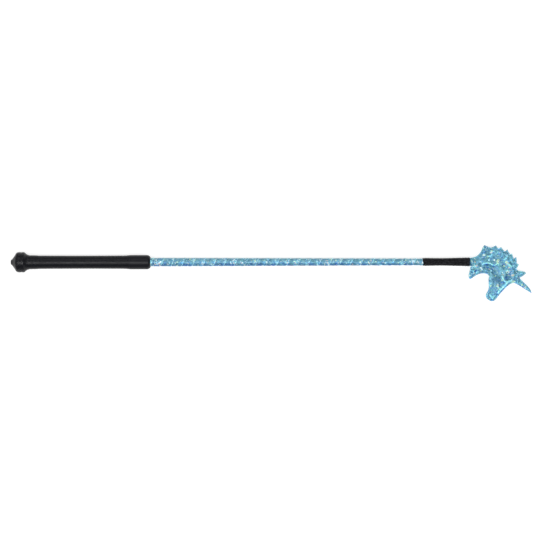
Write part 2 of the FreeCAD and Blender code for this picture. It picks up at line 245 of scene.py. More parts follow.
def turned_piece(name, node, plait_depths, bore, material, slot):
    """A turned piece on a CAD node's own outside, closed round its bore. Its plait's depth goes
    from the first value, where the piece is slim, to the second, where it is wide."""
    profile = outer_profile(node)
    low, high = profile[0, 0], profile[-1, 0]
    runs = np.hypot(*np.diff(profile, axis=0).T)
    arc = np.concatenate([[0], np.cumsum(runs)])
    along = np.linspace(0, arc[-1], int(arc[-1] / HANDLE_STEP) + 1)
    x = np.interp(along, arc, profile[:, 0])
    radius = np.interp(along, arc, profile[:, 1])
    angle = np.arange(HANDLE_SEGMENTS) * TURN / HANDLE_SEGMENTS
    fade = smooth(x, low, low + PLAIT_FADE) * smooth(high - x, 0, PLAIT_FADE)
    fine, bold = plait_depths
    depth = fine + (bold - fine) * smooth(radius, *KNOB_PLAIT_RADII)
    height = plait(along[:, None], angle[None, :])
    swell = HANDLE_SWELL * smooth(x, 0, CONE_END)
    lift = swell[:, None] + (height - PLAIT_MIDDLE) * (depth * fade)[:, None]
    outside = around(x[:, None], radius[:, None] + lift, angle[None, :])
    inside = around(np.array([[high], [low]]), np.array([[bore[1]], [bore[0]]]), angle[None, :])
    points = np.concatenate([outside, inside]).reshape(-1, 3)
    relief = np.concatenate([(height * fade[:, None]).ravel(), np.zeros(2 * HANDLE_SEGMENTS)])
    faces = grid_faces(len(x) + 2, HANDLE_SEGMENTS, loop_rows=True)
    piece = make_piece(name, points, faces, material, slot, relief=relief)
    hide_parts(node)
    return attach(piece, "crop")


# ---- shaft: ribbon and whipping ---------------------------------------------------------
def holographic_ribbon(material):
    """One long ribbon wound in a helix. Each turn's front edge lies over the next turn's rear."""
    profile = outer_profile("holographic_wrap")
    width = RIBBON_LEAD + RIBBON_LAP
    first = RIBBON_START - width + 1      # its first turn is cut square at the start
    turns = (RIBBON_END - width - first) / RIBBON_LEAD
    angle = np.linspace(0, turns * TURN, int(turns * RIBBON_SEGMENTS))[:, None]
    rear = first + angle / TURN * RIBBON_LEAD
    cut = np.clip((RIBBON_START - rear) / width, 0, 1)
    across = cut + (1 - cut) * RIBBON_ACROSS
    x = rear + across * width
    top = np.interp(x, profile[:, 0], profile[:, 1]) - RIBBON_THICKNESS + RIBBON_SWELL
    lapped = smooth(across, *(1 - share * RIBBON_LAP / width for share in RIBBON_CLIMB))
    shown = np.clip((across * width - RIBBON_LAP) / RIBBON_LEAD, 0, 1)
    crown = RIBBON_CROWN * np.sin(shown * math.pi)
    wobble = np.sin(angle * WOBBLE_WAVES[0] + WOBBLE_SKEW * across) * np.sin(angle * WOBBLE_WAVES[1])
    top = top + RIBBON_THICKNESS * lapped + crown + WOBBLE * wobble
    bottom = top - RIBBON_UNDERSIDE * RIBBON_THICKNESS
    loop = np.concatenate([around(x, top, angle), around(x, bottom, angle)[:, ::-1]], 1)
    edge = smooth(across, RIBBON_EDGE, 1)
    behind, ahead = RIBBON_PAINTED_SHADE
    # painted shade behind each seam that lightens towards the next, and a painted highlight on the cut
    # edge
    painted_lap_shade = behind + (ahead - behind) * shown
    relief = np.concatenate([painted_lap_shade * (1 - edge) + edge, np.ones_like(across)], 1)
    glint = FRONT_GLINT * smooth(across, *FRONT_GLINT_FROM)
    glint += FERRULE_GLINT * (1 - smooth(x, *FERRULE_GLINT_TO))
    glint += WHIPPING_GLINT * smooth(x, *WHIPPING_GLINT_FROM)
    glint = np.concatenate([glint, glint[:, ::-1]], 1)
    rows, columns = loop.shape[:2]
    faces = grid_faces(rows, columns) + end_caps(rows, columns)
    piece = make_piece("wound_ribbon", loop.reshape(-1, 3), faces, material, "wrap_foil",
                       relief=relief.ravel(), glint=glint.ravel())
    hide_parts("holographic_wrap")
    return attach(piece, "crop")


def whipping_thread(material):
    """Close turns of thread along the whipping's own outside, with its ends tucked in."""
    profile = outer_profile("whipping")
    start, end = profile[0, 0] + THREAD_RADIUS, profile[-1, 0] - THREAD_RADIUS
    turns = (end - start) / THREAD_PITCH
    count = int(turns * THREAD_SEGMENTS)
    angle = np.linspace(0, turns * TURN, count)
    strays = np.arange(0, turns * TURN, DRIFT_ANGLE)
    drift = np.interp(angle, strays, RANDOM.normal(0, THREAD_DRIFT, len(strays)))
    x = np.linspace(start, end, count) + drift
    radius = np.interp(x, profile[:, 0], profile[:, 1]) - THREAD_RADIUS + THREAD_STAND
    radius += DRIFT_LIFT * np.roll(drift, DRIFT_LAG)
    radius += LUMP * np.sin(LUMP_WAVES[0] * x + LUMP_SKEW * np.sin(LUMP_WAVES[1] * x))
    section = np.arange(THREAD_SIDES) * TURN / THREAD_SIDES
    ring_x = x[:, None] + THREAD_RADIUS * np.sin(section)
    ring_radius = radius[:, None] + THREAD_RADIUS * np.cos(section)
    points = around(ring_x, ring_radius, angle[:, None])
    faces = grid_faces(count, THREAD_SIDES) + end_caps(count, THREAD_SIDES)
    relief = np.broadcast_to((1 + np.cos(section)) / 2, (count, THREAD_SIDES))
    piece = make_piece("whipping_thread", points.reshape(-1, 3), faces, material,
                       "whipping_thread", relief=relief.ravel())
    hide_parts("whipping")
    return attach(piece, "crop")


# ---- popper: outline ---------------------------------------------------------
ROOT_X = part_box("whipping")[1].x / MM
CAD_RIM_HEIGHT = 0.9              # of the CAD skin's flat rim over the weld plane


def cad_loop(node, height):
    """The outer edge of a CAD node's flat face at this height, as points in mm, in order."""
    work = bmesh.new()
    work.from_mesh(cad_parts[node].data)
    bmesh.ops.remove_doubles(work, verts=work.verts, dist=WELD_DISTANCE)
    level = height * MM
    flat = {f for f in work.faces if all(abs(v.co.z - level) < SAME for v in f.verts)}
    onward = {}
    for face in flat:
        for loop in face.loops:
            if sum(f in flat for f in loop.edge.link_faces) == 1:
                onward[loop.vert] = loop.link_loop_next.vert
    loops = []
    while onward:
        start, vert = onward.popitem()
        ring = [start]
        while vert is not start:
            ring.append(vert)
            vert = onward.pop(vert)
        loops.append(np.array([v.co[:2] for v in ring]) / MM)
    work.free()
    return max(loops, key=lambda ring: np.ptp(ring[:, 1]) + np.ptp(ring[:, 0]))


def even_loop(loop, spacing):
    """The same closed loop with its long runs divided, keeping every point it has."""
    points = []
    for here, there in zip(loop, np.roll(loop, -1, 0)):
        pieces = max(1, round(float(np.hypot(*(there - here))) / spacing))
        for k in range(pieces):
            points.append(here + (there - here) * k / pieces)
    return np.array(points)


def distance_to(points, line, closed=False):
    """Distance of each point to a polyline, its place along it from 0 to 1, and its side."""
    starts = line if closed else line[:-1]
    ends = np.roll(line, -1, 0) if closed else line[1:]
    best = np.full(len(points), np.inf)
    place = np.zeros(len(points))
    side = np.zeros(len(points))
    for k, (a, b) in enumerate(zip(starts, ends)):
        run = b - a
        t = np.clip(((points - a) @ run) / max(run @ run, SAME ** 2), 0, 1)
        away = points - (a + t[:, None] * run)
        d = np.hypot(away[:, 0], away[:, 1])
        near = d < best
        best[near] = d[near]
        place[near] = (k + t[near]) / len(starts)
        turn = run[0] * away[:, 1] - run[1] * away[:, 0]
        side[near] = np.sign(turn[near])
    return best, place, side


def inside(points, loop):
    """Whether each point is inside a closed loop."""
    odd = np.zeros(len(points), bool)
    for a, b in zip(loop, np.roll(loop, -1, 0)):
        crosses = (a[1] > points[:, 1]) != (b[1] > points[:, 1])
        if crosses.any() and a[1] != b[1]:
            at = a[0] + (points[:, 1] - a[1]) * (b[0] - a[0]) / (b[1] - a[1])
            odd ^= crosses & (points[:, 0] < at)
    return odd


CURVE_POINTS = 28


def curve(points):
    """A smooth line through a few points (Catmull-Rom)."""
    p = np.array(points, float)
    p = np.vstack([2 * p[0] - p[1], p, 2 * p[-1] - p[-2]])
    last = len(p) - 4
    line = []
    for t in np.linspace(0, last + 1, CURVE_POINTS):
        k = min(int(t), last)
        u = t - k
        a, b, c, d = p[k:k + 4]
        line.append((2 * b + (c - a) * u + (2 * a - 5 * b + 4 * c - d) * u ** 2
                     + (3 * b - a - 3 * c + d) * u ** 3) / 2)
    return np.array(line)


# ---- popper: embossing ------------------------------------------------------------------
RIDGE_TAPER = 0.25                # share of a ridge's line over which each end fades
LAP_TAPER = 0.2
LAP_STEP = 0.35                   # width of a lock's steep side, and of its long slope
LAP_REACH = 1.6
LAP_HEIGHT = 0.6
MANE_LOCKS = [                    # lapped edges, from the crest's inner line out to each notch
    [(12.6, 4.6), (17.8, 5.6), (23.6, 5.2), (28.6, 4.0)],
    [(30.0, 6.4), (31.8, 9.4), (32.6, 13.6)],
    [(35.2, 3.6), (37.8, 7.6), (39.2, 11.4)],
    [(38.8, 0.6), (43.0, 4.6), (45.4, 8.6)],
    [(42.6, -0.6), (47.4, 1.2), (50.2, 4.4)],
    [(47.4, -2.4), (51.0, -1.8), (53.6, 0.6)],
]
RIDGES = [                        # line, height, width
    ([(20.6, 15.4), (23.7, 13.3), (26.8, 12.0), (29.4, 13.9)], 0.95, 1.0),
    ([(18.2, 8.0), (21.6, 6.8), (24.8, 7.8), (26.8, 10.2)], 0.95, 1.0),
    ([(16.8, 14.4), (16.2, 11.0), (17.2, 8.2)], 0.5, 0.9),
    ([(12.2, -4.6), (15.6, -2.4), (19.4, -1.3), (22.6, -1.7), (26.0, -3.4), (29.2, -3.8),
      (31.6, -1.4), (32.4, 3.2)], 1.15, 1.0),
    ([(32.8, -1.0), (32.9, -3.2), (31.8, -5.6)], 0.8, 0.9),
    ([(33.0, 12.8), (34.2, 10.6), (35.6, 9.6)], 0.8, 0.9),
    ([(43.6, 7.4), (42.8, 5.2), (42.6, 3.6)], 0.8, 0.9),
    ([(39.8, 3.4), (38.8, 1.2)], 0.7, 0.9),
    ([(40.6, 11.6), (41.8, 9.6)], 0.6, 0.9),
    ([(41.4, -1.2), (44.0, -2.6), (47.0, -4.6), (50.2, -7.0)], 1.15, 1.05),
    ([(42.8, -5.2), (41.8, -7.4)], 0.7, 0.9),
    ([(50.2, -8.6), (51.0, -11.6)], 0.8, 0.8),
    ([(41.2, -11.8), (44.6, -10.4), (48.0, -11.6)], 1.1, 1.15),
    ([(37.4, -13.8), (37.8, -18.4), (39.6, -22.2), (43.4, -23.4), (48.0, -22.2), (50.2, -18.4)],
     1.5, 1.3),
    ([(48.8, -16.2), (52.2, -16.4)], 0.6, 0.8),
    ([(51.2, -15.0), (55.0, -14.4)], 0.7, 1.0),
    ([(23.3, -15.0), (22.8, -20.0), (22.8, -24.0), (23.2, -28.4)], 0.95, 1.0),
    ([(30.4, -27.0), (32.2, -29.2), (34.2, -31.6)], 1.05, 1.5),
    ([(46.0, -24.2), (41.2, -27.4), (35.4, -33.2), (31.2, -38.8)], 1.2, 1.3),
    ([(22.2, -35.8), (23.2, -40.4), (25.8, -43.0), (28.2, -43.0)], 0.95, 1.1),
    ([(22.6, -37.0), (24.2, -39.8), (26.8, -41.0), (29.2, -39.2), (30.6, -36.6)], 0.95, 1.05),
    ([(2.6, -8.4), (3.6, -12.0), (3.2, -15.8)], 0.95, 1.4),
    ([(4.8, -14.9), (9.0, -12.4), (13.0, -11.4)], 0.7, 1.1),
    ([(18.8, -6.0), (22.0, -5.8)], 0.5, 0.8),
    ([(52.6, -18.0), (57.4, -15.8)], 0.6, 0.7),
    ([(57.4, -13.2), (60.0, -14.2), (62.6, -13.4)], 0.6, 1.0),
    ([(58.6, -26.9), (63.4, -30.6), (69.6, -35.2)], 0.45, 0.9),
    ([(60.4, -23.9), (64.8, -27.8), (69.2, -32.8)], 0.5, 0.9),
]
GROOVES = [                       # line, depth, width
    ([(14.6, -4.8), (19.2, -3.9), (23.0, -4.4), (27.0, -6.2), (31.0, -6.6)], 0.6, 0.8),
    ([(26.2, -18.0), (26.6, -24.0), (26.0, -30.0)], 0.6, 0.9),
    ([(31.0, -13.6), (34.4, -17.6), (34.8, -22.4), (33.6, -26.0)], 0.4, 1.3),
    ([(38.2, -2.6), (39.4, -6.0), (39.2, -10.2)], 0.9, 1.5),
    ([(46.2, -0.8), (50.2, -2.4)], 0.9, 1.1),
    ([(13.0, -7.2), (19.0, -7.8), (25.2, -10.8), (29.0, -12.6)], 0.85, 1.6),
    ([(21.0, -38.6), (23.2, -42.6), (27.0, -43.4)], 0.3, 0.7),
]
HOLLOWS = [                       # centre, radius, depth
    ((20.9, 11.0), 3.1, 1.0),
    ((44.9, -18.2), 3.4, 1.35),
    ((28.6, -31.0), 1.7, 0.4),
    ((26.8, -34.2), 1.6, 0.25),
    ((11.3, -3.8), 1.8, 0.75),
    ((55.4, -22.8), 3.2, 1.1),
    ((34.0, 4.5), 5.5, 0.7),
    ((17.8, 6.0), 3.8, 0.8),
    ((29.4, -13.2), 3.4, 1.2),
    ((24.4, -9.4), 2.8, 0.6),
    ((25.2, 2.4), 2.6, 0.5),
    ((35.8, -25.4), 2.0, 0.6),
]
HOLLOW_SQUARENESS = 1.4
CHEEK = (30.2, -20.4)
CHEEK_RADIUS = 4.8
CHEEK_SQUARENESS = 2.0
CHEEK_RISE = 0.3
CHEEK_LEAN = 0.1                  # the cheek's flat leans towards the mane
EYE = (45.2, -18.4)
EYE_RADIUS = 1.3
EYE_RISE = 0.7
EYE_SQUARENESS = 1.2
GLINTS = [                        # where the painted glints lie thickest: centre and reach
    ((5.9, -4.5), 2.0), ((11.8, -8.0), 2.0), ((1.7, 0.6), 1.3), ((15.4, 8.2), 1.3),
    ((25.4, 12.9), 1.8), ((34.0, 11.4), 1.4), ((32.5, 0.6), 1.9),
    ((42.6, -1.6), 1.8), ((44.6, -10.9), 2.0), ((38.3, -14.4), 1.7), ((44.9, -14.4), 1.2),
    ((50.0, -16.3), 1.2), ((49.2, -22.6), 1.4), ((39.0, -20.4), 1.5), ((32.2, -29.4), 1.9),
    ((4.4, -13.4), 1.5), ((38.4, -18.4), 1.9),
]
HORN_AXIS = [(52.6, -20.8), (71.6, -36.4)]
HORN_BASE = 3.0                   # half width it loses from base to tip, and keeps at the tip
HORN_TIP = 0.8
HORN_HEIGHT = 1.5
HORN_THINNING = 0.55              # share of its height that it loses towards the tip
HORN_FADE = 0.12                  # share of its length over which it rises from the forehead
HORN_TWIST = 3.1                  # lead of its spiral, the spiral's slant and its height
HORN_SLANT = 0.55
HORN_GROOVE = 0.22
CREASES = 14
CREASE_LENGTHS = (2.6, 7.5)
CREASE_SLOPE = 0.006              # height of a crease per mm of its length

# painted light and shade: how much each shape lightens the film with painted light, or darkens it with
# painted shade where negative
HOLLOW_PAINTED_SHADE = -0.55
CHEEK_PAINTED_SHADE = -0.7
HORN_PAINTED_LIGHT = 0.4
SPIRAL_PAINTED_LIGHT = 0.35
ROOT_PAINTED_LIGHT = 0.5
ROOT_PAINTED_LIGHT_X = (0.5, 3.0)
ROOT_PAINTED_LIGHT_Y = (4.5, 7.0)
RIM_PAINTED_LIGHT = 0.25
RIM_PAINTED_LIGHT_EDGE = (0.8, 2.0)
PAINTED_LIGHT_MIDDLE = 0.5
PAINTED_LIGHT_GAIN = 0.45


def tapered(place, taper):
    """1 along a line, fading to 0 over a share of it at each end."""
    return smooth(place, 0, taper) * smooth(1 - place, 0, taper)


def ridge(points, line, height, width):
    """A rounded ridge along a line."""
    d, place, _ = distance_to(points, curve(line))
    return height * np.exp(-(d / width) ** 2) * tapered(place, RIDGE_TAPER)


def lap(points, line):
    """A mane lock's lapped edge: a steep step on the line's right, a long slope on its left."""
    d, place, side = distance_to(points, curve(line))
    reach = np.where(side >= 0, LAP_REACH, LAP_STEP)
    return LAP_HEIGHT * np.exp(-(d / reach) ** 2) * tapered(place, LAP_TAPER)


def mound(points, centre, radius, height, squareness):
    """A mound about a centre, with a flatter top and steeper sides where it is squarer."""
    d = np.hypot(points[:, 0] - centre[0], points[:, 1] - centre[1]) / radius
    return height * np.exp(-d ** (2 * squareness))


def horn_relief(points):
    """A full round horn, and its spiral groove from -1 to 1."""
    line = np.array(HORN_AXIS, float)
    d, place, side = distance_to(points, line)
    half = HORN_BASE * (1 - place) + HORN_TIP
    length = float(np.hypot(*(line[1] - line[0])))
    on = np.clip(1 - (d / half) ** 2, 0, 1) * smooth(place, 0, HORN_FADE)
    body = HORN_HEIGHT * np.sqrt(on) * (1 - HORN_THINNING * place)
    wound = (place * length + HORN_SLANT * side * d) / HORN_TWIST
    spiral = np.sqrt(on) * np.sin(wound * TURN)
    return np.array([body + HORN_GROOVE * spiral, spiral])


def emboss(points):
    """The embossed lines on the padded face, in mm over the plain puffed skin, and its hollows."""
    height = np.zeros(len(points))
    for line in MANE_LOCKS:
        height += lap(points, line)
    for line, rise, width in RIDGES:
        height += ridge(points, line, rise, width)
    for line, depth, width in GROOVES:
        height -= ridge(points, line, depth, width)
    hollows = sum(mound(points, *hollow, HOLLOW_SQUARENESS) for hollow in HOLLOWS)
    return np.array([height, hollows])


def glinting(points):
    """From 0 to 1, how thick the painted glints lie."""
    return np.max([mound(points, centre, reach, 1, 1) for centre, reach in GLINTS], axis=0)


def crinkle(points):
    """Soft creases of foil over foam, about a tenth of a mm deep."""
    height = np.zeros(len(points))
    for _ in range(CREASES):
        heading = RANDOM.uniform(0, TURN)
        length = RANDOM.uniform(*CREASE_LENGTHS)
        phase = RANDOM.uniform(0, TURN)
        along = points @ np.array([math.cos(heading), math.sin(heading)])
        height += CREASE_SLOPE * length * np.sin(along / length * TURN + phase)
    return height


def padded_height(depth, edge):
    """The skin's swell over the foam pad, and its own small swell between the pad and the rim."""
    swell = smooth(depth, *PUFF_START)
    inwards = np.clip((depth + PUFF_MARGIN) / PUFF_REACH, 0, 1)
    small = smooth(edge - RIM_WIDTH, *PILLOW_START)
    return PUFF * np.sqrt(1 - (1 - inwards) ** 2) * swell + PILLOW * small * (1 - swell)


def root_height(points, edge):
    """The round root that the thread binds, fading out into the neck."""
    across = np.clip(1 - (points[:, 1] / ROOT_HALF_WIDTH) ** 2, 0, 1)
    root = ROOT_RADIUS * np.sqrt(across) * (1 - smooth(points[:, 0], *ROOT_REACH))
    return np.minimum(root, ROOT_EDGE + ROOT_EDGE_SLOPE * edge)


def skin_height(points, outline, zone):
    """The skin's outside over the weld plane, and its painted light from 0, painted shade in the
    grooves and hollows, to 1, painted highlight on the crests.
    """
    edge = distance_to(points, outline, closed=True)[0]
    depth = distance_to(points, zone, closed=True)[0] * np.where(inside(points, zone), 1, -1)
    rounded = 1 - (1 - np.clip(edge / RIM_ROUND, 0, 1)) ** 2
    rim = RIM_HEIGHT * np.sqrt(np.clip(rounded, RIM_EDGE_SHARE, 1))
    weld = -PRESS_DEPTH * np.exp(-((edge - RIM_WIDTH) / PRESS_WIDTH) ** 2)
    emboss_from, emboss_to = EMBOSS_START
    lines, hollows = emboss(points) * smooth(edge, emboss_from, RIM_WIDTH + emboss_to)
    horn, spiral = horn_relief(points) * smooth(edge, *HORN_START)
    cheek = mound(points, CHEEK, CHEEK_RADIUS, 1, CHEEK_SQUARENESS)
    cheek_flat = cheek * (CHEEK_RISE - CHEEK_LEAN * (points[:, 1] - CHEEK[1]))
    eye = mound(points, EYE, EYE_RADIUS, EYE_RISE, EYE_SQUARENESS)
    height = rim + weld + padded_height(depth, edge) + lines - hollows + horn + cheek_flat + eye
    height += crinkle(points) * smooth(edge, *CREASE_START)
    root = root_height(points, edge)
    height = (height ** ROOT_BLEND + root ** ROOT_BLEND) ** (1 / ROOT_BLEND)
    # painted shade in grooves, hollows, the weld line and the cheek; painted highlights on ridges, the
    # horn and its spiral, near the root and along the rim
    painted_shading = lines + weld + HOLLOW_PAINTED_SHADE * hollows + CHEEK_PAINTED_SHADE * cheek
    painted_shading += HORN_PAINTED_LIGHT * horn + SPIRAL_PAINTED_LIGHT * spiral
    at_root = 1 - smooth(points[:, 0], *ROOT_PAINTED_LIGHT_X)
    painted_shading += ROOT_PAINTED_LIGHT * at_root * (1 - smooth(np.abs(points[:, 1]), *ROOT_PAINTED_LIGHT_Y))
    painted_shading += RIM_PAINTED_LIGHT * (1 - smooth(edge, *RIM_PAINTED_LIGHT_EDGE))
    return height, np.clip(PAINTED_LIGHT_MIDDLE + PAINTED_LIGHT_GAIN * painted_shading, 0, 1)


# ---- popper: skins and board ------------------------------------------------------------
def popper_loops():
    """The popper's outline, run back into the whipping, and its padded zone, both from CAD."""
    shift = np.array([ROOT_X, 0.0])
    outline = cad_loop("skin_front", CAD_RIM_HEIGHT) - shift
    zone = cad_loop("padding_front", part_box("padding_front")[0].z / MM) - shift
    x, y = outline.T
    root_edge = (x > ROOT_CUT_X[0]) & (x < ROOT_CUT_X[1]) & (abs(y) < ROOT_CUT_Y)
    on_mane_side = y > 0
    outline[root_edge & on_mane_side] = MANE_ROOT_CORNER
    outline[root_edge & ~on_mane_side] = THROAT_ROOT_CORNER
    keep = np.hypot(*(outline - np.roll(outline, 1, 0)).T) > SAME
    return outline[keep], zone


ONLY_INSIDE = 1                   # the triangulation keeps only what is inside the outline


def skin_mesh(outline, spacing):
    """An even triangle mesh inside an outline: points, triangles, and the rim's order."""
    rim = even_loop(outline, spacing)
    low, high = outline.min(0), outline.max(0)
    row_step = spacing * math.sqrt(3) / 2
    rows = np.arange(low[1], high[1], row_step)
    columns = np.arange(low[0], high[0], spacing)
    lattice = np.array([(x + (k % 2) * spacing / 2, y)
                        for k, y in enumerate(rows) for x in columns])
    lattice = lattice[inside(lattice, rim)]
    lattice = lattice[distance_to(lattice, rim, closed=True)[0] > GRID_CLEARANCE * spacing]
    points = [Vector(p) for p in np.vstack([rim, lattice])]
    edges = [(k, (k + 1) % len(rim)) for k in range(len(rim))]
    made, _, triangles, *_ = geometry.delaunay_2d_cdt(points, edges, [], ONLY_INSIDE, SAME)
    assert len(made) == len(points), "the skin's mesh gained or lost points"
    return np.array([tuple(p) for p in made]), [tuple(t) for t in triangles], len(rim)


def popper_skin(name, side, node, shape, material):
    """One embossed skin as a closed shell: outside, inside and the cut edge between them."""
    flat, triangles, rim_count, height, painted_crest_light, glint = shape
    count = len(flat)
    x = flat[:, 0] + ROOT_X
    inner = np.maximum(height - SKIN, SKIN_GAP)
    outer_points = np.stack([x, flat[:, 1], side * height], -1)
    inner_points = np.stack([x, flat[:, 1], side * inner], -1)
    outwards = [t if side > 0 else t[::-1] for t in triangles]
    inwards = [tuple(i + count for i in t[::-1]) for t in outwards]
    wall = []
    for k in range(rim_count):
        j = (k + 1) % rim_count
        quad = (k, k + count, j + count, j)
        wall.append(quad if side > 0 else quad[::-1])
    piece = make_piece(name, np.vstack([outer_points, inner_points]), outwards + inwards + wall,
                       material, "popper_foil", relief=np.tile(painted_crest_light, 2), glint=np.tile(glint, 2))
    work = bmesh.new()
    work.from_mesh(piece.data)
    bmesh.ops.recalc_face_normals(work, faces=work.faces)
    work.to_mesh(piece.data)
    work.free()
    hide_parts(node)
    return bend_at_neck(piece)


def flexible_board(material):
    """The stiffener, with rows of points across its neck."""
    work = bmesh.new()
    work.from_mesh(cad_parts["popper_core"].data)
    bmesh.ops.remove_doubles(work, verts=work.verts, dist=WELD_DISTANCE)
    for x in np.arange(ROOT_X + BOARD_STEP, ROOT_X + BOARD_BEND_END, BOARD_STEP):
        everything = work.verts[:] + work.edges[:] + work.faces[:]
        bmesh.ops.bisect_plane(work, geom=everything, plane_co=(x * MM, 0, 0), plane_no=(1, 0, 0))
    work.verts.index_update()
    points = [v.co / MM for v in work.verts]
    faces = [[v.index for v in face.verts] for face in work.faces]
    work.free()
    piece = make_piece("flexible_board", points, faces, material, "stiffener_board")
    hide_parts("popper_core")
    return bend_at_neck(piece)


def bend_at_neck(piece):
    """Bakes the piece's transform into its points."""
    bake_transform(piece)
    return piece


# ---- materials --------------------------------------------------------------------------
class Nodes:
    """A material's node tree, with one call per node."""

    def __init__(self, name):
        self.material = bpy.data.materials.new(name)
        self.material.use_nodes = True
        self.tree = self.material.node_tree
        self.shader = self.tree.nodes["Principled BSDF"]

    def add(self, kind, inputs=None, **settings):
        node = self.tree.nodes.new(kind)
        for key, value in settings.items():
            setattr(node, key, value)
        for key, value in (inputs or {}).items():
            self.feed(node.inputs[key], value)
        return node

    def feed(self, socket, value):
        if isinstance(value, bpy.types.NodeSocket):
            self.tree.links.new(value, socket)
        else:
            socket.default_value = value

    def attribute(self, name):
        return self.add("ShaderNodeAttribute", attribute_name=name).outputs["Fac"]

    def math(self, operation, a, b, c=0.0):
        return self.add("ShaderNodeMath", {0: a, 1: b, 2: c}, operation=operation).outputs[0]

    def between(self, factor, low, high):
        """From low to high as the factor goes from 0 to 1."""
        return self.math("MULTIPLY_ADD", factor, high - low, low)

    def vector(self, operation, a, b):
        return self.add("ShaderNodeVectorMath", {0: a, 1: b}, operation=operation).outputs[0]

    def scaled(self, vector, by):
        inputs = {0: vector, "Scale": by}
        return self.add("ShaderNodeVectorMath", inputs, operation="SCALE").outputs[0]

    def place(self):
        """Position in mm."""
        return self.scaled(self.add("ShaderNodeTexCoord").outputs["Object"], 1 / MM)

    def cells(self, size, vector, **settings):
        """Voronoi cells of about this size in mm."""
        return self.add("ShaderNodeTexVoronoi", {"Vector": vector, "Scale": 1 / size},
                        **settings).outputs

    def channels(self, colour):
        return self.add("ShaderNodeSeparateColor", {0: colour}).outputs

    def noise(self, size, detail=3.0, vector=None):
        """Noise with features of about this size in mm, as a factor."""
        return self.add("ShaderNodeTexNoise", {"Vector": vector or self.place(),
                        "Scale": 1 / size, "Detail": detail}).outputs["Fac"]

    def ramp(self, factor, stops, interpolation="LINEAR"):
        node = self.add("ShaderNodeValToRGB", {0: factor})
        node.color_ramp.interpolation = interpolation
        elements = node.color_ramp.elements
        while len(elements) < len(stops):
            elements.new(0.5)
        for element, (position, colour) in zip(elements, stops):
            element.position = position
            element.color = (*colour, 1)
        return node.outputs[0]

    def grey_ramp(self, factor, stops):
        return self.ramp(factor, [(position, (level,) * 3) for position, level in stops])

    def mix(self, factor, a, b, blend_type="MIX"):
        node = self.tree.nodes.new("ShaderNodeMix")
        node.data_type = "RGBA"
        node.blend_type = blend_type
        for index, value in ((0, factor), (6, a), (7, b)):
            self.feed(node.inputs[index], value if not isinstance(value, tuple) else (*value, 1))
        return node.outputs[2]

    def bump(self, height, depth):
        """Bump from a height factor, depth in mm."""
        inputs = {"Height": height, "Distance": depth * MM, "Strength": 1.0}
        return self.add("ShaderNodeBump", inputs).outputs[0]

    def surface(self, **inputs):
        for key, value in inputs.items():
            socket = self.shader.inputs[key.replace("_", " ")]
            self.feed(socket, (*value, 1) if isinstance(value, tuple) else value)
        return self.material


def srgb(*levels):
    """Linear colour of a display colour given in 0 to 255."""
    return tuple(((v / 255 + 0.055) / 1.055) ** 2.4 for v in levels)


POPPER_SLOPE_HUE_AND_SHADE = [                 # the film's hue and painted shade where it slopes to the throat, up to the mane: darker and bluer facing the throat, lighter facing the mane
    (0.10, srgb(62, 114, 190)),
    (0.26, srgb(80, 132, 186)),
    (0.40, srgb(94, 148, 178)),
    (0.54, srgb(104, 158, 180)),
    (0.68, srgb(98, 152, 168)),
    (0.84, srgb(104, 154, 176)),
]
# the ribbon's hue and painted shade by slope, the same way
RIBBON_SLOPE_HUE_AND_SHADE = [
    (0.10, srgb(56, 110, 180)),
    (0.26, srgb(76, 131, 178)),
    (0.40, srgb(94, 149, 181)),
    (0.54, srgb(107, 160, 183)),
    (0.68, srgb(113, 166, 184)),
    (0.84, srgb(120, 169, 189)),
]
FLAKE_TONES = [                   # each tone from its share of the flakes on
    (0.00, (0.72, 0.82, 0.90)),
    (0.25, (1.00, 1.04, 1.05)),
    (0.50, (1.45, 1.36, 1.22)),
    (0.72, (0.58, 0.76, 1.10)),
    (0.86, (0.84, 1.10, 0.94)),
]
PAINTED_CREST_TONES = [                   # painted shade in the grooves up to painted highlights on the crests
    (0.05, (0.38, 0.55, 0.66)),
    (0.24, (0.54, 0.68, 0.69)),
    (0.46, (0.82, 0.86, 0.88)),
    (0.64, (1.15, 1.22, 1.20)),
    (0.80, (1.95, 2.05, 1.85)),
    (1.00, (3.60, 3.00, 2.20)),
]
FLAKE_SIZE = 0.42                 # one glitter flake; lit flakes and tones come in patches
FLAKE_TILT = 0.2
PATCH_CONTRAST = 0.6
STRAY_SIZE = 4.5                  # the hue strays in patches of this size, by this much
STRAY_HUE = 0.55
SLOPE_FADE = [(0.1, 0.2), (0.3, 1.0), (0.6, 1.0), (0.8, 0.2)]    # the slope's hue and painted shade show less in grooves, on crests
BLOTCH_SIZE = 3.4                 # of the lighter and darker blotches, and of the veins
VEINS = [(0.42, 0.0), (0.49, 1.0), (0.51, 1.0), (0.58, 0.0)]     # narrow bands of the noise
VEIN_SHARE = 0.4                  # the film darkens by this share of the veins' lift
LIT_PATCHES = (0.03, 0.93)        # share painted as lit glints where the glint is 0, and where it is 1
LIT_FLAKES = 0.8                  # share of a lit patch's flakes
STRAY_FLAKES = 0.03               # share of all other flakes
OWN_GLINT = 0.4                   # how much a lit flake's own painted glint colour shows over its patch's
SEAM_TONE = srgb(232, 208, 202)   # of the ribbon's cut edge, where the relief is over SEAM_RELIEF
SEAM_RELIEF = 0.93
SEAM_BREAKS = [(0.42, 0.15), (0.58, 1.0)]
# painted glint colours of the lit flakes
POPPER_GLINTS = [
    (0.00, srgb(240, 252, 252)),
    (0.32, srgb(196, 240, 180)),
    (0.66, srgb(140, 226, 252)),
    (0.92, srgb(236, 176, 158)),
]
RIBBON_GLINTS = [
    (0.00, srgb(226, 244, 250)),
    (0.36, srgb(150, 222, 250)),
    (0.70, srgb(196, 238, 190)),
    (0.86, srgb(238, 190, 176)),
]


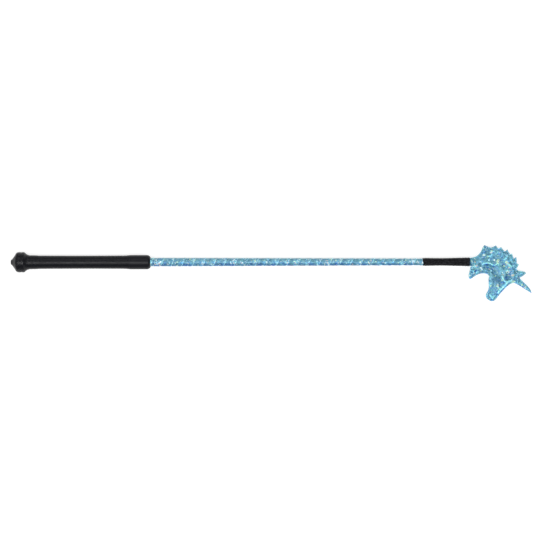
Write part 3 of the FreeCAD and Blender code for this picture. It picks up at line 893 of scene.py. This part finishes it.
def holographic_foil(name, slope_hue_and_shade, glints, patch, slope_gain, seam, mottle, vein, contrast):
    """Glitter film: its hue and painted shade follow the slope, crests get painted highlights and
    grooves painted shade, flakes vary and get painted glints.
    """
    n = Nodes(name)
    relief = n.attribute("relief")
    # painted shade and hue: which way the surface faces, to the mane's side or the throat's, picks a
    # lighter or a darker, bluer tone
    facing = n.add("ShaderNodeTexCoord").outputs["Normal"]
    slope = n.add("ShaderNodeSeparateXYZ", {0: facing}).outputs["Y"]
    slope = n.math("MULTIPLY", slope, n.grey_ramp(relief, SLOPE_FADE))
    slope = n.math("MULTIPLY_ADD", slope, slope_gain, 0.5)
    stray = n.between(n.noise(size=STRAY_SIZE, detail=2.0), -STRAY_HUE, STRAY_HUE)
    colour = n.ramp(n.math("ADD", slope, stray), slope_hue_and_shade)

    darkest = -0.5 * mottle - VEIN_SHARE * vein
    blotch = n.between(n.noise(size=BLOTCH_SIZE, detail=2.0), darkest, darkest + mottle)
    veins = n.grey_ramp(n.noise(size=BLOTCH_SIZE, detail=1.0), VEINS)
    # painted highlights on crests and painted shade in grooves, with the film's own random blotches and
    # veins added
    painted_crest_light = n.math("ADD", relief, n.math("MULTIPLY_ADD", veins, vein, blotch))
    colour = n.mix(1.0, colour, n.ramp(painted_crest_light, PAINTED_CREST_TONES), "MULTIPLY")

    flakes = n.cells(FLAKE_SIZE, n.place())
    of_flake = n.channels(flakes["Color"])
    of_patch = n.channels(n.cells(patch, flakes["Position"])["Color"])
    for share, chosen in ((PATCH_CONTRAST, of_patch), (contrast, of_flake)):
        colour = n.mix(share, colour, n.ramp(chosen[0], FLAKE_TONES, "CONSTANT"), "MULTIPLY")

    # painted glints: lit flakes take a bright glint colour
    lit = n.math("LESS_THAN", of_patch[1], n.between(n.attribute("glint"), *LIT_PATCHES))
    lit = n.math("MULTIPLY", lit, n.math("LESS_THAN", of_flake[1], LIT_FLAKES))
    stray_lit = n.math("LESS_THAN", of_flake[1], STRAY_FLAKES)
    shine = n.mix(OWN_GLINT, n.ramp(of_patch[2], glints, "CONSTANT"),
                  n.ramp(of_flake[2], glints, "CONSTANT"))
    colour = n.mix(n.math("MAXIMUM", lit, stray_lit), colour, shine)

    at_seam = n.math("MULTIPLY", n.math("GREATER_THAN", relief, SEAM_RELIEF), seam)
    broken = n.grey_ramp(n.noise(size=2.6, detail=2.0), SEAM_BREAKS)
    colour = n.mix(n.math("MULTIPLY", at_seam, broken), colour, SEAM_TONE)

    lean = n.scaled(n.vector("SUBTRACT", flakes["Color"], (0.5, 0.5, 0.5)), FLAKE_TILT)
    waves = n.bump(n.noise(size=1.6), depth=0.12)
    normal = n.vector("NORMALIZE", n.vector("ADD", waves, lean), (0, 0, 0))
    rough = n.between(n.noise(size=3.0), 0.46, 0.60)
    return n.surface(Base_Color=colour, Metallic=0.35, Roughness=rough, Normal=normal,
                     Coat_Weight=0.12, Coat_Roughness=0.25)


RUBBER_GRAIN = 1 / 2.4
MARK_STRETCH = (0.25, 1.6, 1.6)   # moulding marks run along the collar
RUBBER_GROOVE = (0.003, 0.0035, 0.005)
RUBBER_CROWN = (0.0075, 0.008, 0.0115)
FERRULE_BLACK = (0.004, 0.004, 0.006)
THREAD_GROOVE = (0.0014, 0.0014, 0.0026)
THREAD_CROWN = (0.026, 0.026, 0.032)
NAIL_BLACK = (0.006, 0.006, 0.008)
NAIL_SCUFF = (0.022, 0.022, 0.026)
CORE_WHITE = (0.8, 0.8, 0.78)


def plaited_rubber(name):
    """Matte black rubber with a leather grain, polished on the strands' crowns in worn patches, which
    are also painted lighter: wear and a painted highlight.
    """
    n = Nodes(name)
    worn = n.grey_ramp(n.noise(size=3.2), [(0.45, 0.1), (0.56, 1.0)])
    polish_and_painted_highlight = n.math("MULTIPLY", n.attribute("relief"), worn)
    # the crowns' lighter colour in worn patches is wear and a painted highlight
    colour = n.mix(polish_and_painted_highlight, RUBBER_GROOVE, RUBBER_CROWN)
    rough = n.between(polish_and_painted_highlight, 0.43, 0.15)
    grain = n.cells(RUBBER_GRAIN, n.place(), feature="SMOOTH_F1")["Distance"]
    height = n.math("MULTIPLY_ADD", grain, 0.7, n.noise(size=0.35, detail=5.0))
    return n.surface(Base_Color=colour, Roughness=rough, Normal=n.bump(height, depth=0.025),
                     Specular_IOR_Level=0.2)


def smooth_rubber(name):
    """Satin black moulded rubber with faint marks along it and a fine grain."""
    n = Nodes(name)
    along = n.vector("MULTIPLY", n.place(), MARK_STRETCH)
    marks = n.noise(size=1.0, detail=5.0, vector=along)
    colour = n.mix(marks, FERRULE_BLACK, tuple(1.9 * level for level in FERRULE_BLACK))
    rough = n.between(marks, 0.32, 0.48)
    grain = n.bump(n.noise(size=0.28, detail=4.0), depth=0.02)
    return n.surface(Base_Color=colour, Roughness=rough, Normal=grain, Specular_IOR_Level=0.2)


def waxed_thread(name):
    """Black waxed thread: twisted strands, darker in the grooves and lighter on the turns' crowns in
    shiny patches, a few pale fibres.
    """
    n = Nodes(name)
    twist = n.add("ShaderNodeTexWave", {"Vector": n.place(), "Scale": 0.9, "Distortion": 1.2,
                  "Detail": 2.0}, bands_direction="DIAGONAL").outputs["Fac"]
    fibre = n.noise(size=0.22, detail=5.0)
    shiny = n.grey_ramp(n.noise(size=2.4, detail=2.0), [(0.42, 0.0), (0.58, 1.0)])
    worn = n.math("MULTIPLY", n.math("MULTIPLY", n.attribute("relief"), shiny), fibre)
    colour = n.mix(worn, THREAD_GROOVE, THREAD_CROWN)
    rough = n.between(shiny, 0.6, 0.35)
    height = n.math("MULTIPLY_ADD", twist, 0.8, fibre)
    return n.surface(Base_Color=colour, Roughness=rough, Normal=n.bump(height, depth=0.09),
                     Specular_IOR_Level=0.2, Sheen_Weight=0.02)


def lacquered_metal(name):
    """Black lacquered nail head, scuffed to grey."""
    n = Nodes(name)
    scuff = n.noise(size=0.6, detail=6.0)
    colour = n.ramp(scuff, [(0.45, NAIL_BLACK), (0.68, NAIL_SCUFF)])
    rough = n.between(scuff, 0.22, 0.62)
    return n.surface(Base_Color=colour, Roughness=rough, Normal=n.bump(scuff, depth=0.04),
                     Metallic=0.1, Specular_IOR_Level=0.25)


def hidden_core(name, base, grain, depth):
    """What is sealed inside, each with its own colour, size of grain and depth of bump."""
    n = Nodes(name)
    speck = n.noise(size=grain, detail=4.0)
    colour = n.mix(speck, base, tuple(0.7 * level for level in base))
    return n.surface(Base_Color=colour, Roughness=n.between(speck, 0.55, 0.75),
                     Normal=n.bump(speck, depth))


# ---- stage, lights and camera -----------------------------------------------------------
VIEW_WIDTH = 0.6505
VIEW_CENTRE = (0.3123, -0.01812)
VIEW_ROLL = math.radians(-0.05)
LENS = 120.0
SENSOR = 36.0
FLOOR_HALF = 3.0
FLOOR_TONES = ((0.34, 0.34, 0.34), (0.36, 0.36, 0.36))
FLOOR_GLOW = 0.76                 # the stage's paper is lit up to white
ROOM_LIGHT = 0.2
SOFTBOXES = [                     # name, place from the view's centre, size, power
    ("strip", (0.0, -0.24, 1.3), (2.0, 0.26), 18),
    ("mane_side", (-0.1, 0.9, 0.9), (1.4, 0.4), 3.5),
    ("butt_side", (-1.2, 0.4, 0.9), (0.4, 0.4), 1.2),
]


def camera():
    """Looks straight down, the crop lying across the frame."""
    data = bpy.data.cameras.new("camera")
    data.lens = LENS
    data.sensor_width = SENSOR
    eye = bpy.data.objects.new("camera", data)
    eye.location = (*VIEW_CENTRE, VIEW_WIDTH * LENS / SENSOR)
    eye.rotation_euler.z = VIEW_ROLL
    bpy.context.scene.collection.objects.link(eye)
    bpy.context.scene.camera = eye


def floor():
    """A pale floor under the crop, level with its lowest point."""
    n = Nodes("pale_floor")
    colour = n.mix(n.noise(size=9.0), *FLOOR_TONES)
    n.surface(Base_Color=colour, Roughness=0.9, Specular_IOR_Level=0.1,
              Emission_Color=(1.0, 1.0, 1.0), Emission_Strength=FLOOR_GLOW)
    size = FLOOR_HALF
    level = CAD_BOX[0].z
    mesh = bpy.data.meshes.new("floor")
    mesh.from_pydata([(-size, -size, level), (size, -size, level), (size, size, level),
                      (-size, size, level)], [], [(0, 1, 2, 3)])
    mesh.materials.append(n.material)
    ground = bpy.data.objects.new("floor", mesh)
    bpy.context.scene.collection.objects.link(ground)


def softbox(name, place, size, power):
    """A soft light aimed at the middle of the crop."""
    data = bpy.data.lights.new(name, "AREA")
    data.shape = "RECTANGLE"
    data.size, data.size_y = size
    data.energy = power
    lamp = bpy.data.objects.new(name, data)
    lamp.location = Vector((VIEW_CENTRE[0], 0, 0)) + Vector(place)
    lamp.rotation_mode = "QUATERNION"
    lamp.rotation_quaternion = (-Vector(place)).to_track_quat("-Z", "Y")
    lamp.visible_camera = False
    bpy.context.scene.collection.objects.link(lamp)


def lights():
    world = bpy.data.worlds.new("studio")
    world.use_nodes = True
    background = world.node_tree.nodes["Background"].inputs
    background["Color"].default_value = (1, 1, 1, 1)
    background["Strength"].default_value = ROOM_LIGHT
    bpy.context.scene.world = world
    for box in SOFTBOXES:
        softbox(*box)
    bpy.context.scene.view_settings.view_transform = "Standard"


# ---- the crop ---------------------------------------------------------------------------
def finish_cad_nodes(popper_foil, board):
    """Materials for the CAD nodes that stay as they are."""
    finishes = {
        "butt_nail": lacquered_metal("nail_black"),
        "butt_plug": hidden_core("beech", (0.5, 0.33, 0.18), 0.8, 0.05),
        "handle_tube": hidden_core("tube", (0.05, 0.05, 0.055), 1.5, 0.02),
        "grip_tape": hidden_core("tape", (0.6, 0.56, 0.48), 0.5, 0.08),
        "core_rod": hidden_core("glass_fibre", (0.7, 0.7, 0.6), 0.6, 0.02),
        "shaft_liner": hidden_core("liner_foam", CORE_WHITE, 0.5, 0.1),
        "tongue_front": popper_foil,
        "tongue_back": popper_foil,
        "tongue_core": board,
    }
    for node, material in finishes.items():
        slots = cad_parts[node].data.materials
        slots.clear()
        slots.append(material)


def popper(foil):
    """Both skins, from one mesh and one set of heights."""
    outline, zone = popper_loops()
    flat, triangles, rim_count = skin_mesh(outline, GRID)
    height, painted_crest_light = skin_height(flat, outline, zone)
    shape = (flat, triangles, rim_count, height, painted_crest_light, glinting(flat))
    front = popper_skin("foil_skin_front", 1, "skin_front", shape, foil)
    back = popper_skin("foil_skin_back", -1, "skin_back", shape, foil)
    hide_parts("skin_front", "padding_front")
    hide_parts("skin_back", "padding_back")


def build():
    """Every piece, from butt to tip, and then what is sealed inside."""
    ribbon_foil = holographic_foil(
        "ribbon_foil", RIBBON_SLOPE_HUE_AND_SHADE, RIBBON_GLINTS, patch=1.6, slope_gain=0.3, seam=0.85,
        mottle=1.1, vein=0.08, contrast=0.5)
    popper_foil = holographic_foil(
        "popper_foil", POPPER_SLOPE_HUE_AND_SHADE, POPPER_GLINTS, patch=1.8, slope_gain=0.4, seam=0.0,
        mottle=1.0, vein=0.14, contrast=1.0)
    rubber = plaited_rubber("plaited_rubber")
    turned_piece("plaited_knob", "butt_cap", (PLAIT_DEPTH, KNOB_PLAIT_DEPTH), KNOB_BORE, rubber,
                 "knob_black")
    turned_piece("plaited_grip", "grip_sleeve", (PLAIT_DEPTH, PLAIT_DEPTH), GRIP_BORE, rubber,
                 "grip_rubber")
    turned_piece("smooth_ferrule", "front_ferrule", NO_PLAIT, FERRULE_BORE,
                 smooth_rubber("ferrule_black"), "ferrule_black")
    holographic_ribbon(ribbon_foil)
    whipping_thread(waxed_thread("waxed_thread"))
    popper(popper_foil)
    board = hidden_core("board", CORE_WHITE, 2.0, 0.02)
    flexible_board(board)
    finish_cad_nodes(popper_foil, board)


build()
floor()
lights()
camera()
